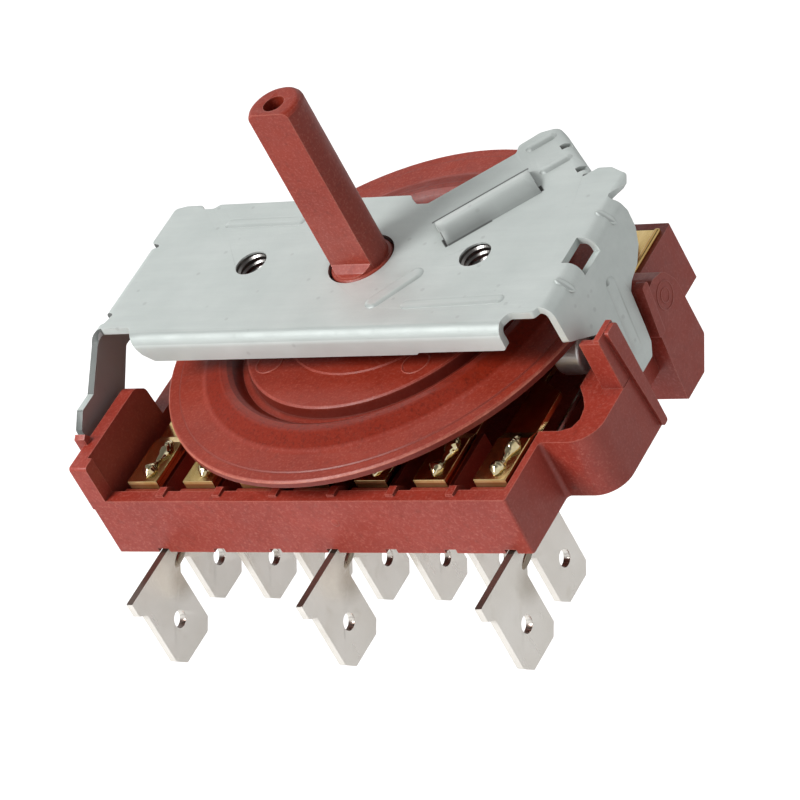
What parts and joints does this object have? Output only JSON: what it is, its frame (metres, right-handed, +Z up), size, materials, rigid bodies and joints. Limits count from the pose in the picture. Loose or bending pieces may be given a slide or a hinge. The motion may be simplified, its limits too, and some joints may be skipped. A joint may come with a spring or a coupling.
{
  "type": "oven selector switch",
  "caption": "Rotary oven selector switch: D shaft and cam disc under a folded metal bracket, on a red-brown base with contact blades and flat plug-in terminals.",
  "frame": {"origin": "on the shaft's axis, level with the top face of the bracket, midway between the two panel screw holes", "axes": "+Z up the shaft, +X towards the end with the detent roller, along the row of poles, +Y away from the terminal side"},
  "size_m": [0.0604, 0.0562, 0.0486],
  "materials": {
    "base_moulding": "satin moulded",
    "cam_moulding": "satin moulded",
    "zinc_sheet": "zinc plated",
    "blade_brass": "rolled",
    "tab_nickel": "nickel plated",
    "tip_silver": "satin",
    "roller_steel": "polished",
    "spring_steel": "drawn"
  },
  "bodies": {
    "housing": {"base_housing": "base_moulding", "bracket": "zinc_sheet", "terminal_1": "tab_nickel", "terminal_2": "tab_nickel", "terminal_3": "tab_nickel", "terminal_4": "tab_nickel", "terminal_5": "tab_nickel", "terminal_6": "tab_nickel", "terminal_7": "tab_nickel", "bus_bar": "blade_brass", "detent_spring": "spring_steel"},
    "cam": {"cam_disc": "cam_moulding"},
    "blade_1": {"contact_blade_1": "blade_brass", "contact_tip_1": "tip_silver"},
    "blade_2": {"contact_blade_2": "blade_brass", "contact_tip_2": "tip_silver"},
    "blade_3": {"contact_blade_3": "blade_brass", "contact_tip_3": "tip_silver"},
    "blade_4": {"contact_blade_4": "blade_brass", "contact_tip_4": "tip_silver"},
    "blade_5": {"contact_blade_5": "blade_brass", "contact_tip_5": "tip_silver"},
    "blade_6": {"contact_blade_6": "blade_brass", "contact_tip_6": "tip_silver"},
    "blade_7": {"contact_blade_7": "blade_brass", "contact_tip_7": "tip_silver"},
    "axle": {"roller_axle": "spring_steel"},
    "roller": {"detent_roller": "roller_steel"}
  },
  "joints": [
    {"name": "cam_turn", "type": "hinge", "parent": "housing", "child": "cam", "pos_m": [0, 0, 0], "axis": [0, 0, 1], "continuous": true},
    {"name": "blade_1_flex", "type": "hinge", "parent": "housing", "child": "blade_1", "pos_m": [0, -0.0135, -0.0114], "axis": [-1, 0, 0], "range_deg": [0, 1.2], "stiffness_Nm_per_rad": 0.6},
    {"name": "blade_2_flex", "type": "hinge", "parent": "housing", "child": "blade_2", "pos_m": [0, -0.0135, -0.0114], "axis": [-1, 0, 0], "range_deg": [0, 1.2], "stiffness_Nm_per_rad": 0.6},
    {"name": "blade_3_flex", "type": "hinge", "parent": "housing", "child": "blade_3", "pos_m": [0, -0.0135, -0.0114], "axis": [-1, 0, 0], "range_deg": [0, 1.2], "stiffness_Nm_per_rad": 0.6},
    {"name": "blade_4_flex", "type": "hinge", "parent": "housing", "child": "blade_4", "pos_m": [0, -0.0135, -0.0114], "axis": [-1, 0, 0], "range_deg": [0, 1.2], "stiffness_Nm_per_rad": 0.6},
    {"name": "blade_5_flex", "type": "hinge", "parent": "housing", "child": "blade_5", "pos_m": [0, -0.0135, -0.0114], "axis": [-1, 0, 0], "range_deg": [0, 1.2], "stiffness_Nm_per_rad": 0.6},
    {"name": "blade_6_flex", "type": "hinge", "parent": "housing", "child": "blade_6", "pos_m": [0, -0.0135, -0.0114], "axis": [-1, 0, 0], "range_deg": [0, 1.2], "stiffness_Nm_per_rad": 0.6},
    {"name": "blade_7_flex", "type": "hinge", "parent": "housing", "child": "blade_7", "pos_m": [0, -0.0135, -0.0114], "axis": [-1, 0, 0], "range_deg": [0, 1.2], "stiffness_Nm_per_rad": 0.6},
    {"name": "roller_press", "type": "slide", "parent": "housing", "child": "axle", "axis": [0, 0, -1], "range_m": [0, 0.0012], "stiffness_N_per_m": 1500, "springref_m": -0.0004, "deforming": ["detent_spring"]},
    {"name": "roller_spin", "type": "hinge", "parent": "axle", "child": "roller", "pos_m": [0.02235, -0.0024, -0.0107], "axis": [1, 0, 0], "continuous": true}
  ]
}
